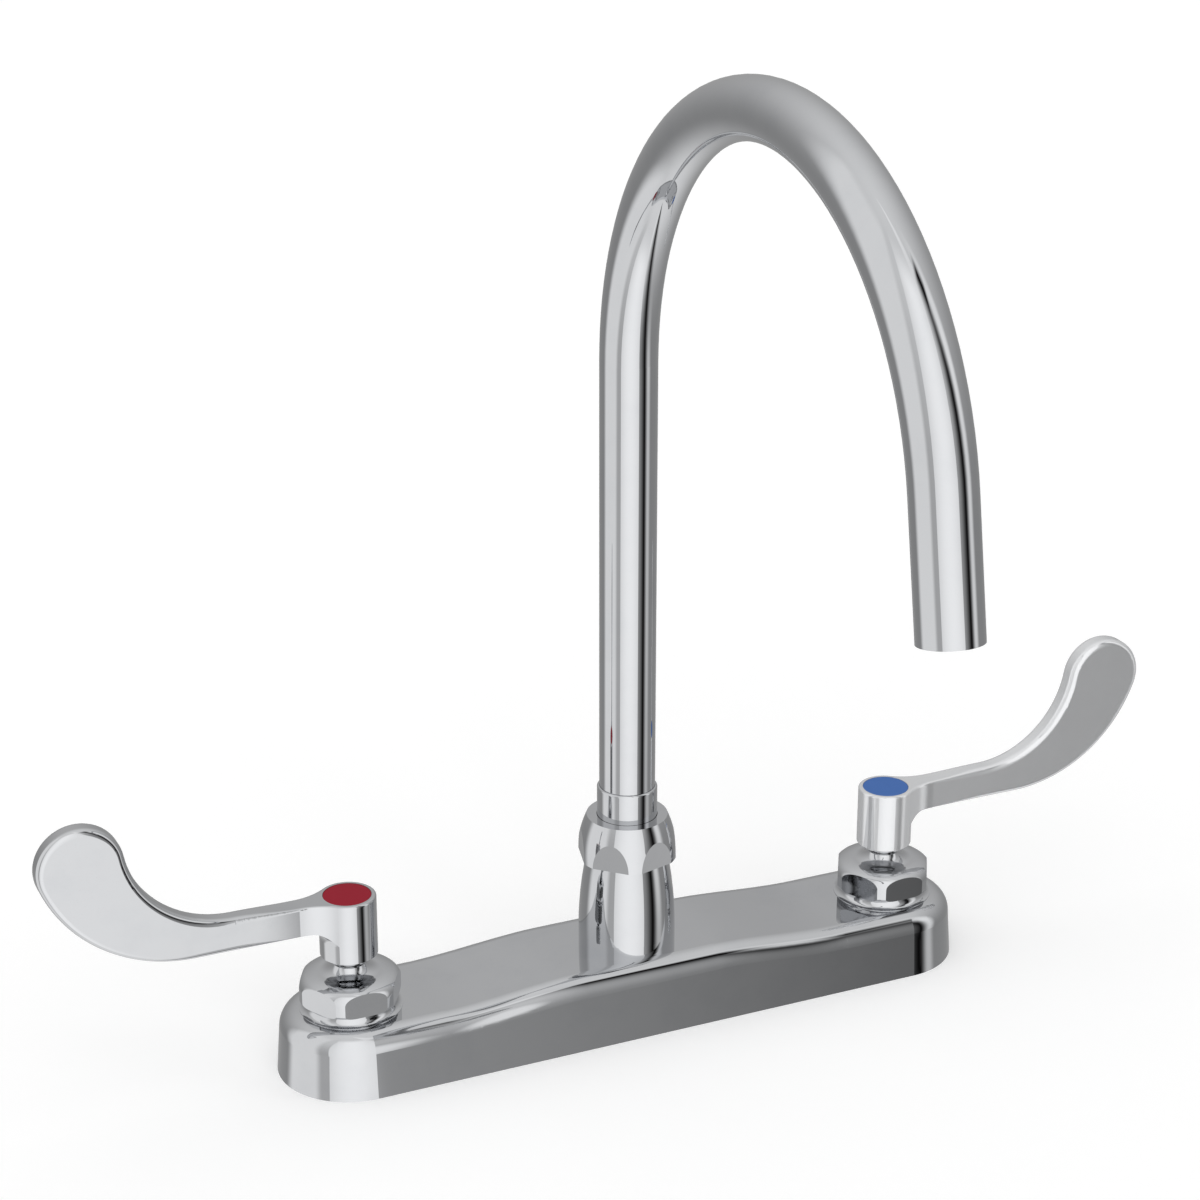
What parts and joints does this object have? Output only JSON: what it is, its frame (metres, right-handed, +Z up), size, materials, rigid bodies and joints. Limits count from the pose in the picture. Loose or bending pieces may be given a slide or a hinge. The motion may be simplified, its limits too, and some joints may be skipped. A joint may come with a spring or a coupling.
{
  "type": "gooseneck faucet",
  "caption": "Deck-mount mixing faucet with a swivelling gooseneck spout and hot and cold quarter-turn wrist-blade levers on a low rounded base.",
  "frame": {"origin": "on the deck plane, under the spout's swivel axis, midway between the two valves", "axes": "+X towards the cold valve, -Y towards the user and along the spout at rest, +Z up"},
  "size_m": [0.4082, 0.2379, 0.3427],
  "materials": {
    "chrome_body": "polished",
    "chrome_tube": "polished",
    "chrome_lever": "polished",
    "chrome_nut": "polished",
    "machined_brass": "machined",
    "stem_chrome": "polished",
    "screw_steel": "bright",
    "disc_ceramic": "lapped",
    "black_rubber": "moulded",
    "gasket_foam": "closed-cell foam",
    "wear_plastic": "moulded",
    "hot_index": "gloss",
    "cold_index": "gloss",
    "insert_plastic": "moulded",
    "screen_steel": "woven"
  },
  "bodies": {
    "body": {"deck_body": "chrome_body", "base_gasket": "gasket_foam", "cartridge_nut_hot": "chrome_nut", "cartridge_body_hot": "machined_brass", "cartridge_oring_hot": "black_rubber", "seat_seal_hot": "black_rubber", "fixed_disc_hot": "disc_ceramic", "cartridge_nut_cold": "chrome_nut", "cartridge_body_cold": "machined_brass", "cartridge_oring_cold": "black_rubber", "seat_seal_cold": "black_rubber", "fixed_disc_cold": "disc_ceramic", "spout_nut": "chrome_nut", "lower_wear_washer": "wear_plastic", "upper_wear_washer": "wear_plastic"},
    "hot_handle": {"stem_hot": "stem_chrome", "moving_disc_hot": "disc_ceramic", "stem_orings_hot": "black_rubber", "lever_hot": "chrome_lever", "screw_washer_hot": "screw_steel", "handle_screw_hot": "screw_steel", "index_button_hot": "hot_index"},
    "cold_handle": {"stem_cold": "stem_chrome", "moving_disc_cold": "disc_ceramic", "stem_orings_cold": "black_rubber", "lever_cold": "chrome_lever", "screw_washer_cold": "screw_steel", "handle_screw_cold": "screw_steel", "index_button_cold": "cold_index"},
    "spout": {"spout_ferrule": "chrome_nut", "spout_orings": "black_rubber", "spout_tube": "chrome_tube", "outlet_insert": "insert_plastic", "flow_disc": "insert_plastic", "outlet_screen": "screen_steel"}
  },
  "joints": [
    {"name": "hot_handle_turn", "type": "hinge", "parent": "body", "child": "hot_handle", "pos_m": [-0.1016, 0, 0.045], "axis": [0, 0, 1], "range_deg": [0, 90]},
    {"name": "cold_handle_turn", "type": "hinge", "parent": "body", "child": "cold_handle", "pos_m": [0.1016, 0, 0.045], "axis": [0, 0, 1], "range_deg": [-90, 0]},
    {"name": "spout_swivel", "type": "hinge", "parent": "body", "child": "spout", "pos_m": [0, 0, 0.07], "axis": [0, 0, 1], "continuous": true}
  ]
}
